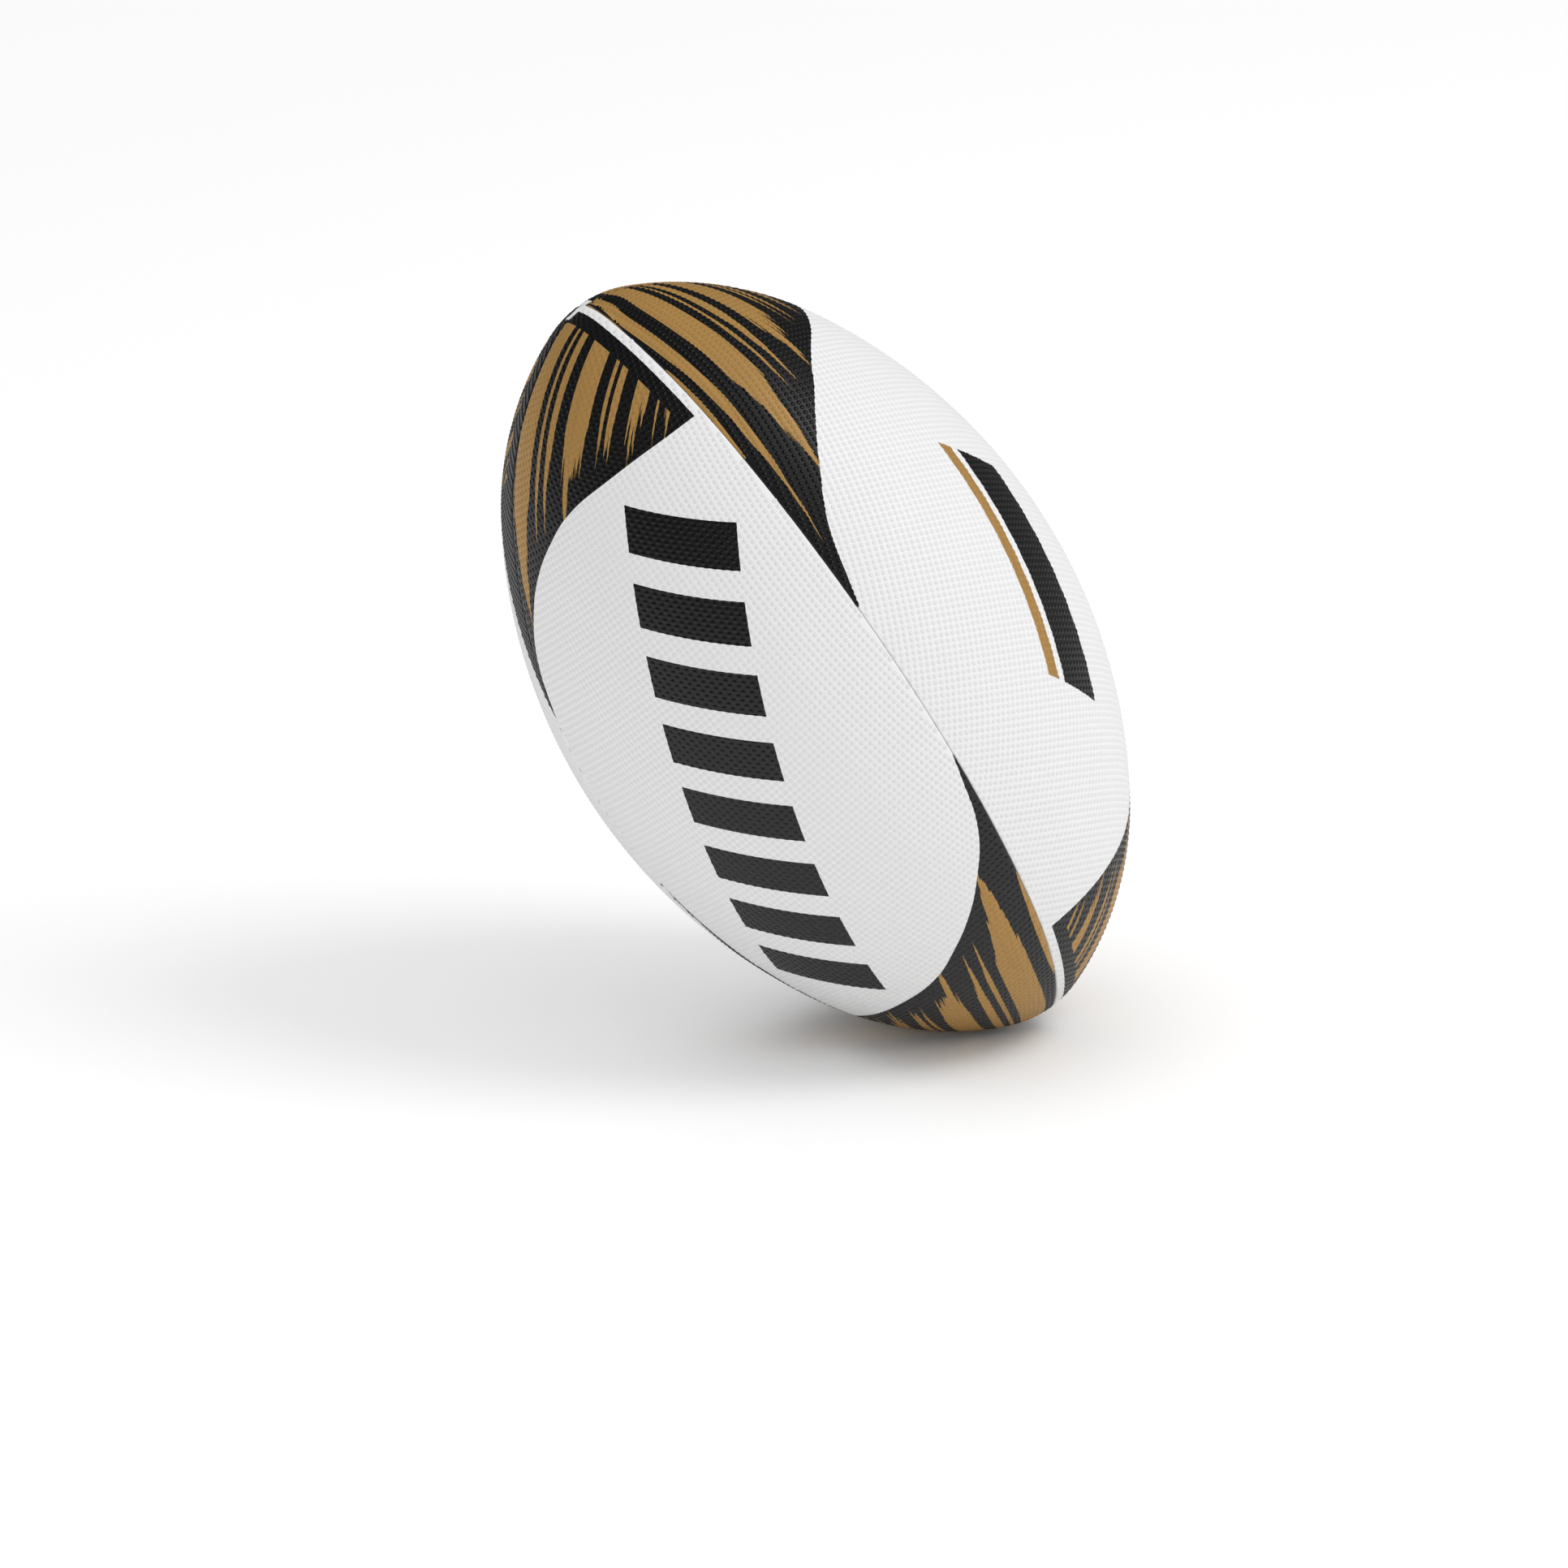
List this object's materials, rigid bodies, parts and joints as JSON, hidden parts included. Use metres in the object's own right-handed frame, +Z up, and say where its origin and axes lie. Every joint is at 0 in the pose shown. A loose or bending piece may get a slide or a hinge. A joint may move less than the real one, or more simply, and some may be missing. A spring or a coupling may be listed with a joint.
{
  "type": "rugby ball",
  "caption": "Full-size oval rugby ball: stitched rubber panels on fabric plies over an inflated bladder with a needle valve.",
  "frame": {"origin": "centre of the ball", "axes": "+Z up with the ball leaning as on a kicking tee: its long axis lies in the XZ plane, 32 degrees from +Z towards -X; +Y is a diameter of the belly, pointing away from the side that is usually seen"},
  "size_m": [0.2174, 0.185, 0.2666],
  "materials": {
    "pebbled_rubber": "pimpled grip, printed black and gold on white",
    "poly_cotton": "woven and rubber-bonded",
    "waxed_thread": "waxed polyester",
    "butyl": "smooth, matte",
    "valve_rubber": "moulded, matte",
    "plug_rubber": "soft, smooth",
    "patch_fabric": "woven and rubber-bonded"
  },
  "bodies": {
    "root": {"cover_panel_1": "pebbled_rubber", "cover_panel_2": "pebbled_rubber", "cover_panel_3": "pebbled_rubber", "cover_panel_4": "pebbled_rubber", "ply_outer_1": "poly_cotton", "ply_outer_2": "poly_cotton", "ply_outer_3": "poly_cotton", "ply_outer_4": "poly_cotton", "ply_middle_1": "poly_cotton", "ply_middle_2": "poly_cotton", "ply_middle_3": "poly_cotton", "ply_middle_4": "poly_cotton", "ply_inner_1": "poly_cotton", "ply_inner_2": "poly_cotton", "ply_inner_3": "poly_cotton", "ply_inner_4": "poly_cotton", "seam_thread_1": "waxed_thread", "seam_thread_2": "waxed_thread", "seam_thread_3": "waxed_thread", "seam_thread_4": "waxed_thread", "bladder": "butyl", "valve_body": "valve_rubber", "valve_plug": "plug_rubber", "valve_patch": "patch_fabric"}
  },
  "joints": []
}
